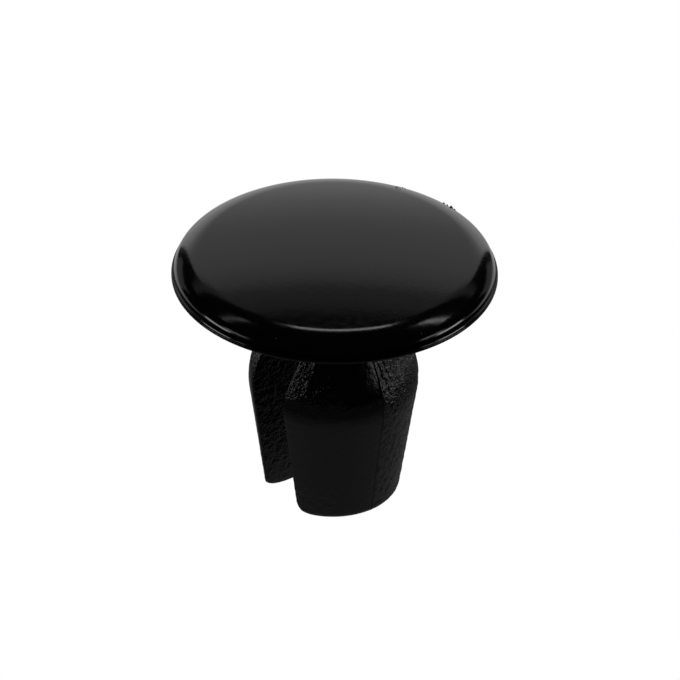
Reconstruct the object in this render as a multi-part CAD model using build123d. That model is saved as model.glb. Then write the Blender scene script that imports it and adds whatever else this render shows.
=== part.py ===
from build123d import *

import os
from math import cos, radians, sin, tan

# Push-in hole plug, moulded in one piece: a low domed head on two sprung legs.
#
# Frame: +Z up the plug's axis from the leg tips to the head, +X along the slot
# between the legs, origin on the axis in the plane of the leg tips. Millimetres.

# Driving dimensions
head_diameter = 20.0        # over the lip
shank_length = 15.5         # leg tips to the underside of the head
shoulder_diameter = 10.52   # widest part of the legs, wider than the hole
neck_diameter = 7.9         # where the panel sits, a loose fit in an 8 mm hole
slot_width = 3.15           # between the flat inner faces of the legs

# Head: crown, broad shoulder, tight edge and a thin lip at the mould's parting plane
lip_overhang = 0.13
lip_height = 0.22
lip_break = 0.06            # corners of the lip
edge_radius = 0.8
edge_foot = 0.28            # height of the tight edge's centre above the underside
brow_radius = 3.0           # broad rounding between the crown and the tight edge
brow_slope = 35.0           # surface slope where the brow meets the tight edge
crown_slope = 8.0           # surface slope where the crown meets the brow

# Legs: one turned outline, cut in two by the slot
shoulder_drop = 7.4         # widest section below the underside of the head
shoulder_round = 4.5
neck_slope = 27.0           # cone above the shoulder, from the axis
taper_slope = 8.0           # cone below the shoulder, from the axis
tip_round = 0.55
root_round = 0.4            # neck into the underside of the head
slot_edge_break = 0.12      # edges of the flat inner faces

# Flash left down the middle of each leg by the two halves of the mould
flash_width = 0.12
flash_height = 0.05

head_radius = head_diameter / 2
shoulder_radius = shoulder_diameter / 2
neck_radius = neck_diameter / 2
bury = 0.5                  # how far the shank runs into the head before they are joined


def polar(centre, radius, angle):
    """Point on a circle, by its angle in degrees from the first axis."""
    return (
        centre[0] + radius * cos(radians(angle)),
        centre[1] + radius * sin(radians(angle)),
    )


def revolved(edges):
    """Turn a closed outline, drawn as (radius, height), about the plug's axis."""
    face = make_face(Plane.XZ * Curve(edges))
    return revolve(face, Axis.Z)


def head_outline():
    """Half section of the head, from the axis at the underside round to the crown."""
    side = head_radius - lip_overhang
    foot = shank_length
    lip_top = foot + lip_height

    edge_centre = (side - edge_radius, foot + edge_foot)
    edge_top = polar(edge_centre, edge_radius, 90 - brow_slope)

    reach = edge_radius - brow_radius
    brow_centre = polar(edge_centre, reach, 90 - brow_slope)
    brow_top = polar(brow_centre, brow_radius, 90 - crown_slope)

    crown_radius = brow_top[0] / sin(radians(crown_slope))
    crown_centre = (0, brow_top[1] - crown_radius * cos(radians(crown_slope)))
    crown_top = (0, crown_centre[1] + crown_radius)

    lip = [
        (0, foot),
        (head_radius - lip_break, foot),
        (head_radius, foot + lip_break),
        (head_radius, lip_top - lip_break),
        (head_radius - lip_break, lip_top),
        (side, lip_top),
        (side, edge_centre[1]),
    ]
    return [
        *Polyline(lip).edges(),
        CenterArc(edge_centre, edge_radius, 0, 90 - brow_slope),
        CenterArc(brow_centre, brow_radius, 90 - brow_slope, brow_slope - crown_slope),
        CenterArc(crown_centre, crown_radius, 90 - crown_slope, crown_slope),
        Line(crown_top, (0, foot)),
    ]


def shank_outline(proud=0.0):
    """Half section of the shank before it is slotted, pushed out by `proud`."""
    centre = (shoulder_radius - shoulder_round, shank_length - shoulder_drop)
    bulge = shoulder_round + proud
    waist = neck_radius + proud

    taper_top = polar(centre, bulge, -taper_slope)
    lean = tan(radians(taper_slope))
    tip_rise = tip_round * (1 - sin(radians(taper_slope)))
    tip_side = taper_top[0] - lean * (taper_top[1] - tip_rise)
    tip_centre = (tip_side - tip_round * cos(radians(taper_slope)), tip_round)

    neck_foot = polar(centre, bulge, neck_slope)
    neck_rise = (neck_foot[0] - waist) / tan(radians(neck_slope))
    neck_top = (waist, neck_foot[1] + neck_rise)
    root = (waist + root_round, shank_length - root_round)
    top = shank_length + bury
    return [
        Line((0, 0), (tip_centre[0], 0)),
        CenterArc(tip_centre, tip_round, -90, 90 - taper_slope),
        Line((tip_side, tip_rise), taper_top),
        CenterArc(centre, bulge, -taper_slope, taper_slope + neck_slope),
        Line(neck_foot, neck_top),
        Line(neck_top, (waist, root[1])),
        CenterArc(root, root_round, 90, 90),
        Line((root[0], shank_length), (root[0], top)),
        Line((root[0], top), (0, top)),
        Line((0, top), (0, 0)),
    ]


def flash_plate():
    """Thin plate across both legs that leaves a ridge standing on each."""
    half = make_face(Plane.YZ * Curve(shank_outline(flash_height)))
    plate = extrude(half, flash_width / 2, both=True)
    plate += mirror(plate, Plane.XZ)
    trim = Pos(0, 0, tip_round + shank_length / 2) * Box(
        head_diameter, head_diameter, shank_length
    )
    return plate & trim


def slot_block():
    """What the mould's core takes out: everything between the legs."""
    return Pos(0, 0, shank_length / 2) * Box(
        head_diameter, slot_width, shank_length
    )


def legs():
    """The two legs, their inner edges eased."""
    body = revolved(shank_outline()) - slot_block()
    inner = body.faces().filter_by(Plane.XZ)
    rim = [
        edge
        for face in inner
        for edge in face.edges()
        if edge.center().Z < shank_length - root_round
    ]
    return chamfer(rim, slot_edge_break)


def plug():
    """The whole moulding."""
    shank = legs() + (flash_plate() - slot_block())
    return revolved(head_outline()) + shank


os.makedirs("parts", exist_ok=True)
export_step(plug(), "parts/plug.step")
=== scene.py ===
"""Black plastic hole plug, standing on its leg tips under studio panels.

The moulding is built again here from the same sizes as the CAD part, as one fine mesh
with its grain, flash and small marks. Metres, in the row frame: +Z up the axis from the
leg tips, +X along the slot between the legs.
"""
import math

import bpy
from mathutils import Matrix, Vector, noise


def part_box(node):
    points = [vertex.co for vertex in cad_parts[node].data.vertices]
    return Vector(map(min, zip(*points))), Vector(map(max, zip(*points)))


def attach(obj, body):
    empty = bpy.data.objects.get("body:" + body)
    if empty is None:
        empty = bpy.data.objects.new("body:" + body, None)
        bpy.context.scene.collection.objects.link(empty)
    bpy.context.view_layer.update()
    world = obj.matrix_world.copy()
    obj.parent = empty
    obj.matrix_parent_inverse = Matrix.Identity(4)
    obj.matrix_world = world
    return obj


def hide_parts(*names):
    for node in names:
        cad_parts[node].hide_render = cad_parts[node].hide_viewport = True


MM = 0.001

# Sizes that the moulding shares with the CAD part
SHANK_LENGTH = 15.5 * MM
SHOULDER_RADIUS = 5.26 * MM
NECK_RADIUS = 3.95 * MM
SLOT_HALF = 1.575 * MM

LIP_OVERHANG = 0.13 * MM
LIP_HEIGHT = 0.22 * MM
LIP_ROUND = 0.06 * MM
EDGE_RADIUS = 0.8 * MM
EDGE_FOOT = 0.28 * MM
BROW_RADIUS = 3.0 * MM
BROW_SLOPE = 35.0
CROWN_SLOPE = 8.0

SHOULDER_DROP = 7.4 * MM
SHOULDER_ROUND = 4.5 * MM
NECK_SLOPE = 27.0
TAPER_SLOPE = 8.0
TIP_ROUND = 0.55 * MM
ROOT_ROUND = 0.4 * MM
INNER_ROUND = 0.12 * MM

# The corners of each leg round off towards its foot, less so on the inner face
FOOT_RISE = 1.1 * MM
FOOT_ROUND = 0.6 * MM
FOOT_INNER_SHARE = 0.3

# Flash along the middle of each leg
FLASH_HEIGHT = 0.06 * MM
FLASH_WIDTH = 0.08 * MM

# Grain left by the mould on the legs
GRAIN_SIZE = 0.3 * MM
GRAIN_HEIGHT = 0.045 * MM
BUMP_SIZE = 0.15 * MM
BUMP_HEIGHT = 0.075 * MM

# How strong the grain is: in the slot, on the smooth half and on the worn foot
GRAIN_SLOT = 0.9
GRAIN_SMOOTH = 0.22
GRAIN_WORN = 0.6

# Where it grows strong on the smooth half: out to the slot edge, at the neck and at the foot
BURRED_SPAN = (2.1 * MM, 2.7 * MM)
BURRED_RISE = (8.6 * MM, 9.4 * MM)
WORN_SPAN = (1.6 * MM, 2.8 * MM)
WORN_RISE = (2.0 * MM, 4.0 * MM)

# Drag marks across the neck, beside the flash
DRAG_PITCH = 0.42 * MM
DRAG_HEIGHT = 0.035 * MM
DRAG_REACH = 2.0 * MM
DRAG_LOW = 9.3 * MM
DRAG_HIGH = 14.6 * MM
DRAG_LEAN = 0.25
JAG_SIZE = 0.6 * MM

# Burr standing beside the slot edge at the neck
BURR_INSET = 0.5 * MM
BURR_WIDTH = 0.1 * MM

# Fineness of the mesh
HEAD_STEPS = 256
LEG_RISE = 0.1 * MM
LEG_STEPS_OUT = 120
LEG_STEPS_IN = 60
CROWDING = 1.5

# Nick on the head: an arc of small flecks
NICK_PLACE = (8.05 * MM, 4.0 * MM)
NICK_RADIUS = 0.36 * MM
NICK_START = 20
NICK_STEP = 25
NICK_FLECKS = 9
NICK_SIZE = 0.15 * MM
NICK_HEIGHT = 0.05 * MM

# Number of each material on the mesh
POLISHED, GRAINED, PALE, DARK = range(4)

# Dust on the head, to the nearest half millimetre: place along X and Y, and size, in mm
PALE_DUST = [
    (-8, 2, 0.11), (-9.5, 2, 0.07), (1.5, -5.5, 0.06), (3, -6, 0.06),
    (-1, -7.5, 0.11), (-0.5, -9.5, 0.08), (-3, -6, 0.05), (-8, -5, 0.09),
]
DARK_DUST = [(-4.5, 8, 0.07), (-5, 1.5, 0.06), (2.5, 5, 0.06), (0.5, 6.5, 0.06)]

# Nibs of flash at the head's edge: angle, distance, height above the underside, size in mm
NIBS = [
    (3.6, 9.62, 0.80, 0.40), (5.4, 9.60, 0.86, 0.50),
    (7.4, 9.60, 0.84, 0.36), (9.4, 9.62, 0.80, 0.44),
]

# The camera looks down on the head from the -X, -Y side; its aim lies off the underside's middle
CAMERA_AZIMUTH = -36.5
CAMERA_ELEVATION = 33.5
CAMERA_ROLL = 0.75
CAMERA_DISTANCE = 343 * MM
CAMERA_LENS = 296.6
AIM_RIGHT = 0.33 * MM
AIM_DOWN = 4.06 * MM

# How far off the lights stand
STUDIO_REACH = 0.3

# Distance from the plug's axis and strength of the floor's glow
FLOOR_GAP = 0.01 * MM
FLOOR_GLOW = [
    (0 * MM, 0.13),
    (11 * MM, 0.13),
    (17 * MM, 0.07),
    (24 * MM, 0.02),
    (31 * MM, 0.02),
    (34 * MM, 0.28),
    (37 * MM, 0.0),
]

# Height and strength of the glow behind the plug
BACKDROP_GLOW = [
    (0.000, 0.90),
    (0.103, 0.90),
    (0.126, 0.68),
    (0.147, 0.60),
    (0.166, 0.51),
    (0.227, 0.51),
    (0.247, 0.47),
    (0.260, 0.41),
    (0.280, 0.37),
]


# ---------------------------------------------------------------- outlines

def polar(centre, radius, angle):
    """Point on a circle, by its angle in degrees."""
    turn = math.radians(angle)
    return (
        centre[0] + radius * math.cos(turn),
        centre[1] + radius * math.sin(turn),
    )


def arc(centre, radius, start, end, steps):
    """Points along a circular arc, both ends included."""
    return [
        polar(centre, radius, start + (end - start) * i / steps)
        for i in range(steps + 1)
    ]


def line(start, end, steps):
    """Points along a straight line, without its first point."""
    return [
        (
            start[0] + (end[0] - start[0]) * i / steps,
            start[1] + (end[1] - start[1]) * i / steps,
        )
        for i in range(1, steps + 1)
    ]


def head_outline(radius):
    """(radius, height) points from the underside's middle, round the rim, to the crown."""
    foot = SHANK_LENGTH
    side = radius - LIP_OVERHANG
    lip_low = (radius - LIP_ROUND, foot + LIP_ROUND)
    lip_high = (radius - LIP_ROUND, foot + LIP_HEIGHT - LIP_ROUND)

    edge = (side - EDGE_RADIUS, foot + EDGE_FOOT)
    brow = polar(edge, EDGE_RADIUS - BROW_RADIUS, 90 - BROW_SLOPE)
    crown_edge = polar(brow, BROW_RADIUS, 90 - CROWN_SLOPE)
    crown_radius = crown_edge[0] / math.sin(math.radians(CROWN_SLOPE))
    crown = (0, crown_edge[1] - crown_radius * math.cos(math.radians(CROWN_SLOPE)))

    points = [(0, foot)]
    points += line(points[-1], (lip_low[0], foot), 8)
    points += arc(lip_low, LIP_ROUND, -90, 0, 4)[1:]
    points += arc(lip_high, LIP_ROUND, 0, 90, 4)
    points += line(points[-1], (side + LIP_ROUND / 2, foot + LIP_HEIGHT), 1)
    points += line(points[-1], (side, edge[1]), 2)
    points += arc(edge, EDGE_RADIUS, 0, 90 - BROW_SLOPE, 18)[1:]
    points += arc(brow, BROW_RADIUS, 90 - BROW_SLOPE, 90 - CROWN_SLOPE, 18)[1:]
    points += arc(crown, crown_radius, 90 - CROWN_SLOPE, 90, 40)[1:]
    return points


def shank_outline(rise):
    """(radius, height) points up the shank from the tips, about `rise` apart."""
    centre = (SHOULDER_RADIUS - SHOULDER_ROUND, SHANK_LENGTH - SHOULDER_DROP)
    taper_top = polar(centre, SHOULDER_ROUND, -TAPER_SLOPE)
    lean = math.tan(math.radians(TAPER_SLOPE))
    tip_rise = TIP_ROUND * (1 - math.sin(math.radians(TAPER_SLOPE)))
    tip_side = taper_top[0] - lean * (taper_top[1] - tip_rise)
    tip = (tip_side - TIP_ROUND * math.cos(math.radians(TAPER_SLOPE)), TIP_ROUND)

    neck_foot = polar(centre, SHOULDER_ROUND, NECK_SLOPE)
    neck_rise = (neck_foot[0] - NECK_RADIUS) / math.tan(math.radians(NECK_SLOPE))
    neck_top = (NECK_RADIUS, neck_foot[1] + neck_rise)
    root = (NECK_RADIUS + ROOT_ROUND, SHANK_LENGTH - ROOT_ROUND)

    def rows(start, end):
        return max(1, round(abs(end[1] - start[1]) / rise))

    points = arc(tip, TIP_ROUND, -90, -TAPER_SLOPE, 9)
    points += line(points[-1], taper_top, rows(points[-1], taper_top))
    points += arc(centre, SHOULDER_ROUND, -TAPER_SLOPE, NECK_SLOPE, rows(taper_top, neck_foot))[1:]
    points += line(neck_foot, neck_top, rows(neck_foot, neck_top))
    points += line(neck_top, (NECK_RADIUS, root[1]), 14)
    points += arc(root, ROOT_ROUND, 180, 90, 5)[1:]
    return points


# ---------------------------------------------------------------- meshes

class Moulding:
    """One mesh in the making, with a material number on each face and grain on its first points."""

    def __init__(self):
        self.points = []
        self.faces = []
        self.finish = []
        self.grain = []

    def ring(self, points):
        """Adds points and returns their numbers."""
        first = len(self.points)
        self.points += points
        return list(range(first, len(self.points)))

    def add(self, face, finish):
        """Adds one face."""
        self.faces.append(face)
        self.finish.append(finish)

    def skin(self, rings, finish):
        """Quads between closed rings of equal length."""
        for low, high in zip(rings, rings[1:]):
            count = len(low)
            for i in range(count):
                j = (i + 1) % count
                self.add((low[i], low[j], high[j], high[i]), finish)


def build_head(moulding, radius):
    """The domed head as a turned skin, closed at the crown and the underside."""
    outline = head_outline(radius)
    middle_low = moulding.ring([Vector((0, 0, outline[0][1]))])[0]
    middle_high = moulding.ring([Vector((0, 0, outline[-1][1]))])[0]
    turns = [2 * math.pi * i / HEAD_STEPS for i in range(HEAD_STEPS)]
    rings = []
    for r, z in outline[1:-1]:
        ring = [Vector((r * math.cos(t), r * math.sin(t), z)) for t in turns]
        rings.append(moulding.ring(ring))
    moulding.skin(rings, POLISHED)
    for i in range(HEAD_STEPS):
        j = (i + 1) % HEAD_STEPS
        moulding.add((middle_low, rings[0][j], rings[0][i]), POLISHED)
        moulding.add((rings[-1][i], rings[-1][j], middle_high), POLISHED)


def leg_section(r, inner, ease):
    """Closed D-shaped loop as (x, y, flat): outer arc, then the inner face, corners eased."""
    corner_y = inner + ease
    corner_x = math.sqrt((r - ease) ** 2 - corner_y ** 2)
    start = math.atan2(corner_y, corner_x)
    lean = math.degrees(start)
    loop = []
    for i in range(LEG_STEPS_OUT + 1):
        t = 2 * i / LEG_STEPS_OUT - 1
        t = math.copysign(abs(t) ** CROWDING, t)
        x, y = polar((0, 0), r, 90 - t * (90 - lean))
        loop.append((x, y, False))
    loop.reverse()
    loop += [(x, y, True) for x, y in arc((-corner_x, corner_y), ease, 180 - lean, 270, 4)[1:]]
    loop += [(x, y, True) for x, y in line((-corner_x, inner), (corner_x, inner), LEG_STEPS_IN)]
    loop += [(x, y, True) for x, y in arc((corner_x, corner_y), ease, -90, lean, 4)[1:-1]]
    return loop


def ramp(value, low, high):
    """0 at low, 1 at high, eased between."""
    t = min(1.0, max(0.0, (value - low) / (high - low)))
    return t * t * (3 - 2 * t)


def grain_at(x, z, flat):
    """How strongly the grain shows: full on the +X mould half, strong in the slot."""
    if flat:
        return GRAIN_SLOT
    half = ramp(x, -0.02 * MM, 0.12 * MM)
    burred = ramp(-x, *BURRED_SPAN) * ramp(z, *BURRED_RISE)
    worn = GRAIN_WORN * ramp(-x, *WORN_SPAN) * ramp(-z, -WORN_RISE[1], -WORN_RISE[0])
    return max(GRAIN_SMOOTH, half, burred, worn)


def relief_at(place, x, z, edge, grain, flat):
    """How far the skin stands out at a point: grain, flash, burr and drag marks."""
    rough = noise.noise(place / GRAIN_SIZE)
    height = GRAIN_HEIGHT * grain * rough
    if flat:
        return height
    jagged = 1 + 1.2 * noise.noise(place / JAG_SIZE)
    height += FLASH_HEIGHT * jagged * math.exp(-((x / (FLASH_WIDTH / 2)) ** 2))
    neck = ramp(z, DRAG_LOW, DRAG_LOW + MM) * ramp(-z, -DRAG_HIGH, -DRAG_HIGH + MM)
    drag = ramp(x, 0.1 * MM, 0.3 * MM) * ramp(-x, -DRAG_REACH, -DRAG_REACH + 0.5 * MM)
    wave = math.sin(2 * math.pi * (x + DRAG_LEAN * z) / DRAG_PITCH + 3 * rough)
    height += DRAG_HEIGHT * neck * drag * wave
    burr = math.exp(-(((x - edge - BURR_INSET) / BURR_WIDTH) ** 2))
    height += FLASH_HEIGHT * neck * jagged * burr
    return height


def build_leg(moulding, side):
    """One leg; side is +1 or -1 along Y."""
    rings = []
    for r, z in shank_outline(LEG_RISE):
        foot = 1 - math.sqrt(1 - (1 - min(1.0, z / FOOT_RISE)) ** 2)
        ease = INNER_ROUND + FOOT_ROUND * foot
        inner = SLOT_HALF + FOOT_INNER_SHARE * FOOT_ROUND * foot
        loop = leg_section(r, inner, ease)
        edge = min(x for x, _, _ in loop)
        foot_fade = min(1.0, z / TIP_ROUND)
        ring = []
        for x, y, flat in loop:
            place = Vector((x, y * side, z))
            grain = grain_at(x, z, flat)
            out = Vector((0, -1, 0)) if flat else Vector((x, y, 0)).normalized()
            p = Vector((x, y, 0)) + out * relief_at(place, x, z, edge, grain, flat) * foot_fade
            ring.append(Vector((p.x, p.y * side, z)))
            moulding.grain.append(grain)
        rings.append(moulding.ring(ring))
    if side < 0:
        rings = [ring[::-1] for ring in rings]
    moulding.skin(rings, GRAINED)
    moulding.add(tuple(rings[0][::-1]), GRAINED)


def dome_height(radius, r):
    """Height of the head's upper skin at distance r from the axis."""
    skin = [p for p in head_outline(radius) if p[1] > SHANK_LENGTH + LIP_HEIGHT]
    for outer, inner in zip(skin, skin[1:]):
        if inner[0] <= r <= outer[0]:
            share = (outer[0] - r) / (outer[0] - inner[0])
            return outer[1] + (inner[1] - outer[1]) * share
    return skin[0][1]


def fleck(moulding, base, size, height, finish):
    """A small irregular pyramid on the skin, sunk a little into it."""
    sides = 6
    ring = []
    for i in range(sides):
        turn = 2 * math.pi * i / sides
        reach = size / 2 * (1 + 0.5 * noise.noise(base / (0.1 * MM) + Vector((i, 0, 0))))
        ring.append(base + Vector((reach * math.cos(turn), reach * math.sin(turn), -size / 3)))
    numbers = moulding.ring(ring)
    top = moulding.ring([base + Vector((size * 0.1, 0, height))])[0]
    for i in range(sides):
        moulding.add((numbers[i], numbers[(i + 1) % sides], top), finish)
    moulding.add(tuple(numbers[::-1]), finish)


def build_marks(moulding, radius):
    """Dust, a curved nick and nibs of flash on the head."""
    for specks, finish in ((PALE_DUST, PALE), (DARK_DUST, DARK)):
        for x, y, size in specks:
            place = Vector((x * MM, y * MM, 0))
            place.z = dome_height(radius, place.length)
            fleck(moulding, place, size * MM, size * 0.3 * MM, finish)
    for i in range(NICK_FLECKS):
        x, y = polar(NICK_PLACE, NICK_RADIUS, NICK_START + NICK_STEP * i)
        place = Vector((x, y, 0))
        place.z = dome_height(radius, place.length)
        fleck(moulding, place, NICK_SIZE, NICK_HEIGHT, DARK)
    for turn, reach, rise, size in NIBS:
        x, y = polar((0, 0), reach * MM, turn)
        place = Vector((x, y, SHANK_LENGTH + rise * MM))
        fleck(moulding, place, size * MM, size * 0.3 * MM, GRAINED)


def build_plug(radius):
    """The whole moulding as one mesh object."""
    moulding = Moulding()
    for side in (1, -1):
        build_leg(moulding, side)
    build_head(moulding, radius)
    build_marks(moulding, radius)
    mesh = bpy.data.meshes.new("plug_moulding")
    mesh.from_pydata(moulding.points, [], moulding.faces)
    mesh.materials.append(polished_plastic())
    mesh.materials.append(grained_plastic())
    mesh.materials.append(dust("pale_dust", (0.30, 0.28, 0.28)))
    mesh.materials.append(dust("dark_dust", (0.002, 0.002, 0.002)))
    grain = mesh.attributes.new("grain", "FLOAT", "POINT")
    moulding.grain += [0.0] * (len(moulding.points) - len(moulding.grain))
    grain.data.foreach_set("value", moulding.grain)
    mesh.polygons.foreach_set("material_index", moulding.finish)
    mesh.polygons.foreach_set("use_smooth", [True] * len(mesh.polygons))
    mesh.set_sharp_from_angle(angle=math.radians(50))
    plug = bpy.data.objects.new("plug_moulding", mesh)
    bpy.context.scene.collection.objects.link(plug)
    return plug


# ---------------------------------------------------------------- materials

def new_material(name):
    """An empty node material; returns it with its nodes and links."""
    material = bpy.data.materials.new(name)
    material.use_nodes = True
    tree = material.node_tree
    tree.nodes.clear()
    return material, tree.nodes, tree.links


def noise_node(nodes, links, coords, size, detail):
    """Noise of about the given size in metres."""
    node = nodes.new("ShaderNodeTexNoise")
    node.inputs["Scale"].default_value = 1 / size
    node.inputs["Detail"].default_value = detail
    links.new(coords, node.inputs["Vector"])
    return node.outputs["Fac"]


def remap(nodes, links, value, low, high):
    """Value from 0..1 carried to low..high."""
    node = nodes.new("ShaderNodeMapRange")
    node.inputs["To Min"].default_value = low
    node.inputs["To Max"].default_value = high
    links.new(value, node.inputs["Value"])
    return node.outputs["Result"]


def plastic(name, roughness, size, height, graded):
    """Black moulded plastic; its bump follows the grain where graded. Sizes in metres."""
    material, nodes, links = new_material(name)
    coords = nodes.new("ShaderNodeTexCoord").outputs["Object"]
    shader = nodes.new("ShaderNodeBsdfPrincipled")
    output = nodes.new("ShaderNodeOutputMaterial")
    links.new(shader.outputs["BSDF"], output.inputs["Surface"])
    shader.inputs["IOR"].default_value = 1.5

    tone = noise_node(nodes, links, coords, 0.8 * MM, 4)
    tones = nodes.new("ShaderNodeValToRGB")
    tones.color_ramp.elements[0].color = (0.0012, 0.0012, 0.0013, 1)
    tones.color_ramp.elements[1].color = (0.0024, 0.0024, 0.0026, 1)
    links.new(tone, tones.inputs["Fac"])
    links.new(tones.outputs["Color"], shader.inputs["Base Color"])

    gloss = noise_node(nodes, links, coords, 0.5 * MM, 3)
    links.new(remap(nodes, links, gloss, *roughness), shader.inputs["Roughness"])

    bump = nodes.new("ShaderNodeBump")
    bump.inputs["Strength"].default_value = 1
    bump.inputs["Distance"].default_value = height
    relief = noise_node(nodes, links, coords, size, 2)
    if graded:
        grain = nodes.new("ShaderNodeAttribute")
        grain.attribute_name = "grain"
        product = nodes.new("ShaderNodeMath")
        product.operation = "MULTIPLY"
        links.new(relief, product.inputs[0])
        links.new(grain.outputs["Fac"], product.inputs[1])
        relief = product.outputs["Value"]
    links.new(relief, bump.inputs["Height"])
    links.new(bump.outputs["Normal"], shader.inputs["Normal"])
    return material


def polished_plastic():
    """The head: a polished mould's finish, faintly rippled."""
    return plastic("polished_plastic", (0.07, 0.17), 0.25 * MM, 0.0022 * MM, False)


def grained_plastic():
    """The legs: spark-eroded grain, stronger on one mould half."""
    return plastic("grained_plastic", (0.10, 0.24), BUMP_SIZE, BUMP_HEIGHT, True)


def dust(name, colour):
    """Dull specks, their tone slightly uneven."""
    material, nodes, links = new_material(name)
    coords = nodes.new("ShaderNodeTexCoord").outputs["Object"]
    tone = noise_node(nodes, links, coords, 0.05 * MM, 2)
    tones = nodes.new("ShaderNodeValToRGB")
    tones.color_ramp.elements[0].color = (*colour, 1)
    tones.color_ramp.elements[1].color = (*[c * 2 for c in colour], 1)
    links.new(tone, tones.inputs["Fac"])
    shader = nodes.new("ShaderNodeBsdfPrincipled")
    shader.inputs["Roughness"].default_value = 0.6
    links.new(tones.outputs["Color"], shader.inputs["Base Color"])
    output = nodes.new("ShaderNodeOutputMaterial")
    links.new(shader.outputs["BSDF"], output.inputs["Surface"])
    return material


# ---------------------------------------------------------------- studio

def studio(right, away, up):
    """A place given as seen by the camera: to its right, away from it, and up."""
    turn = math.radians(CAMERA_AZIMUTH)
    across = Vector((math.cos(turn), math.sin(turn), 0))
    ahead = Vector((-math.sin(turn), math.cos(turn), 0))
    return across * right + ahead * away + Vector((0, 0, up))


def glow(name, strength):
    """A plain white glow."""
    material, nodes, links = new_material(name)
    source = nodes.new("ShaderNodeEmission")
    source.inputs["Strength"].default_value = strength
    output = nodes.new("ShaderNodeOutputMaterial")
    links.new(source.outputs["Emission"], output.inputs["Surface"])
    return material


def panel(name, corners, material):
    """A lit four-cornered panel, its corners given as the camera sees them."""
    mesh = bpy.data.meshes.new(name)
    mesh.from_pydata([studio(*c) for c in corners], [], [(0, 1, 2, 3)])
    mesh.materials.append(material)
    board = bpy.data.objects.new(name, mesh)
    board.visible_camera = False
    bpy.context.scene.collection.objects.link(board)


def overhead_panel(name, left, right, near, far, up, strength):
    """A level panel."""
    corners = [(left, near, up), (right, near, up), (right, far, up), (left, far, up)]
    panel(name, corners, glow(name, strength))


def side_panel(name, right, near, far, low, high, strength):
    """An upright panel that faces across the view."""
    corners = [(right, near, low), (right, far, low), (right, far, high), (right, near, high)]
    panel(name, corners, glow(name, strength))


def strength_along(nodes, links, value, stops):
    """Colour that follows stops, a list of (value, strength), between its two ends."""
    start, end = stops[0][0], stops[-1][0]
    span = nodes.new("ShaderNodeMapRange")
    span.inputs["From Min"].default_value = start
    span.inputs["From Max"].default_value = end
    links.new(value, span.inputs["Value"])
    ramp = nodes.new("ShaderNodeValToRGB")
    links.new(span.outputs["Result"], ramp.inputs["Fac"])
    elements = ramp.color_ramp.elements
    elements.remove(elements[1])
    for i, (place, strength) in enumerate(stops):
        share = (place - start) / (end - start)
        stop = elements.new(share) if i else elements[0]
        stop.position = share
        stop.color = (strength, strength, strength, 1)
    return ramp.outputs["Color"]


def graded_glow(name, stops):
    """A glow that changes with height; stops lists (height in metres, strength)."""
    material, nodes, links = new_material(name)
    place = nodes.new("ShaderNodeNewGeometry").outputs["Position"]
    split = nodes.new("ShaderNodeSeparateXYZ")
    links.new(place, split.inputs["Vector"])
    source = nodes.new("ShaderNodeEmission")
    colour = strength_along(nodes, links, split.outputs["Z"], stops)
    links.new(colour, source.inputs["Color"])
    output = nodes.new("ShaderNodeOutputMaterial")
    links.new(source.outputs["Emission"], output.inputs["Surface"])
    return material


def build_lights():
    """A big panel behind, softening upwards; small lights overhead and at the sides."""
    far = STUDIO_REACH
    low, high = -0.1, BACKDROP_GLOW[-1][0]
    behind = [(-0.153, far, low), (0.153, far, low), (0.153, far, high), (-0.153, far, high)]
    panel("backdrop", behind, graded_glow("backdrop", BACKDROP_GLOW))
    overhead_panel("top_centre", -0.037, 0.050, 0.155, 0.193, far, 3)
    left = [(-0.25, 0.06, far), (-0.12, 0.105, far), (-0.12, 0.13, far), (-0.25, 0.085, far)]
    panel("top_left", left, glow("top_left", 0.7))
    right = [(0.12, 0.10, far), (0.23, 0.075, far), (0.23, 0.11, far), (0.12, 0.13, far)]
    panel("top_right", right, glow("top_right", 2.4))
    overhead_panel("ceiling_near", -0.3, 0.3, 0.265, 0.315, far, 0.17)
    overhead_panel("ceiling_far", -0.3, 0.3, 0.315, 0.345, far, 0.11)
    overhead_panel("floor_behind", -0.6, 0.6, 0.03, 0.3, 0.0005, 0.7)
    side_panel("side_left", -far, -0.10, 0.02, 0.02, 0.07, 4.0)
    side_panel("side_right", far, -0.10, 0.02, 0.02, 0.07, 5.0)
    side_panel("side_left_high", -far, -0.17, -0.06, 0.08, 0.14, 1.2)
    side_panel("side_right_high", far, -0.17, -0.06, 0.08, 0.14, 1.5)
    side_panel("wall_left", -0.25, 0.17, 0.40, -0.1, 0.16, 0.24)
    side_panel("wall_right", 0.25, 0.17, 0.40, -0.1, 0.16, 0.24)


def build_floor():
    """White to the camera; a dim pool of light round the plug to everything else."""
    bpy.ops.mesh.primitive_circle_add(
        vertices=96, radius=2.0, fill_type="NGON", location=(0, 0, -FLOOR_GAP)
    )
    floor = bpy.context.object
    floor.name = "floor"
    material, nodes, links = new_material("floor")
    coords = nodes.new("ShaderNodeTexCoord").outputs["Object"]
    length = nodes.new("ShaderNodeVectorMath")
    length.operation = "LENGTH"
    links.new(coords, length.inputs[0])
    fade = strength_along(nodes, links, length.outputs["Value"], FLOOR_GLOW)
    path = nodes.new("ShaderNodeLightPath")
    mix = nodes.new("ShaderNodeMix")
    mix.data_type = "FLOAT"
    links.new(path.outputs["Is Camera Ray"], mix.inputs["Factor"])
    links.new(fade, mix.inputs["A"])
    mix.inputs["B"].default_value = 1.0
    source = nodes.new("ShaderNodeEmission")
    links.new(mix.outputs["Result"], source.inputs["Strength"])
    output = nodes.new("ShaderNodeOutputMaterial")
    links.new(source.outputs["Emission"], output.inputs["Surface"])
    floor.data.materials.append(material)


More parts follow.
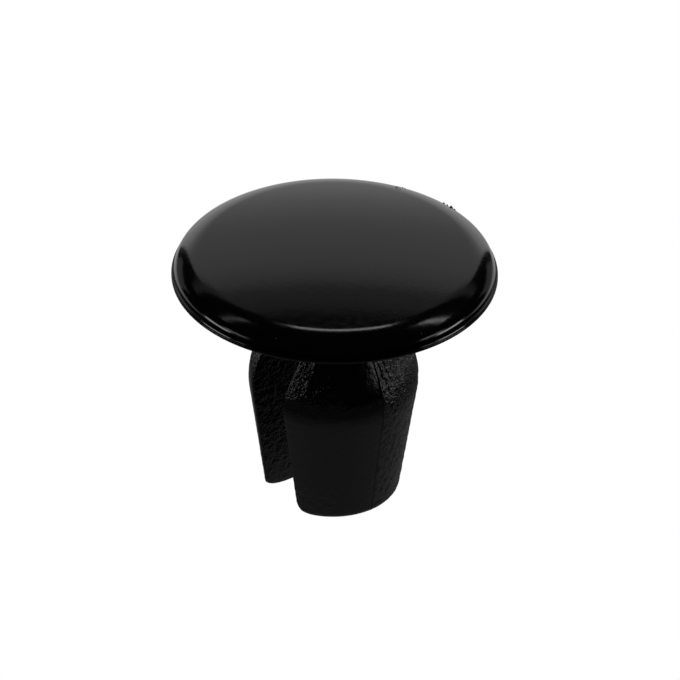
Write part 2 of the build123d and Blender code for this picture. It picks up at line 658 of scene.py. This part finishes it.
def build_world():
    """White to the camera, nearly dark to everything else."""
    world = bpy.data.worlds.new("studio")
    bpy.context.scene.world = world
    world.use_nodes = True
    nodes, links = world.node_tree.nodes, world.node_tree.links
    nodes.clear()
    path = nodes.new("ShaderNodeLightPath")
    mix = nodes.new("ShaderNodeMix")
    mix.data_type = "FLOAT"
    links.new(path.outputs["Is Camera Ray"], mix.inputs["Factor"])
    mix.inputs["A"].default_value = 0.01
    mix.inputs["B"].default_value = 1.0
    back = nodes.new("ShaderNodeBackground")
    links.new(mix.outputs["Result"], back.inputs["Strength"])
    output = nodes.new("ShaderNodeOutputWorld")
    links.new(back.outputs["Background"], output.inputs["Surface"])


def build_camera():
    """A long lens, turned and tipped as the plug is seen."""
    turn = math.radians(CAMERA_AZIMUTH)
    tip = math.radians(CAMERA_ELEVATION)
    roll = math.radians(CAMERA_ROLL)
    back = Vector((math.sin(turn) * math.cos(tip), -math.cos(turn) * math.cos(tip), math.sin(tip)))
    level = Vector((math.cos(turn), math.sin(turn), 0))
    raised = back.cross(level)
    right = level * math.cos(roll) + raised * math.sin(roll)
    up = raised * math.cos(roll) - level * math.sin(roll)
    aim = Vector((0, 0, SHANK_LENGTH)) + right * AIM_RIGHT - up * AIM_DOWN

    data = bpy.data.cameras.new("camera")
    data.lens = CAMERA_LENS
    data.sensor_width = 36
    data.clip_start = 0.01
    data.clip_end = 10
    camera = bpy.data.objects.new("camera", data)
    axes = Matrix((right, up, back)).transposed().to_4x4()
    camera.matrix_world = Matrix.Translation(aim + back * CAMERA_DISTANCE) @ axes
    bpy.context.scene.collection.objects.link(camera)
    bpy.context.scene.camera = camera


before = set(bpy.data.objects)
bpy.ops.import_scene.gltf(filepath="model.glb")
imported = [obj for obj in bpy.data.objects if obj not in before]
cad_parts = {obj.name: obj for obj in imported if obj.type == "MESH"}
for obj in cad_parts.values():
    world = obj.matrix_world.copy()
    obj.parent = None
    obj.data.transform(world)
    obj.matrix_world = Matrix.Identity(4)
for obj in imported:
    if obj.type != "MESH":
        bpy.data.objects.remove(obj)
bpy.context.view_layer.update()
low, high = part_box("plug")

plug = build_plug((high.x - low.x) / 2)
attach(plug, "root")
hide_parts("plug")

build_floor()
build_lights()
build_world()
build_camera()
bpy.context.scene.view_settings.view_transform = "Standard"
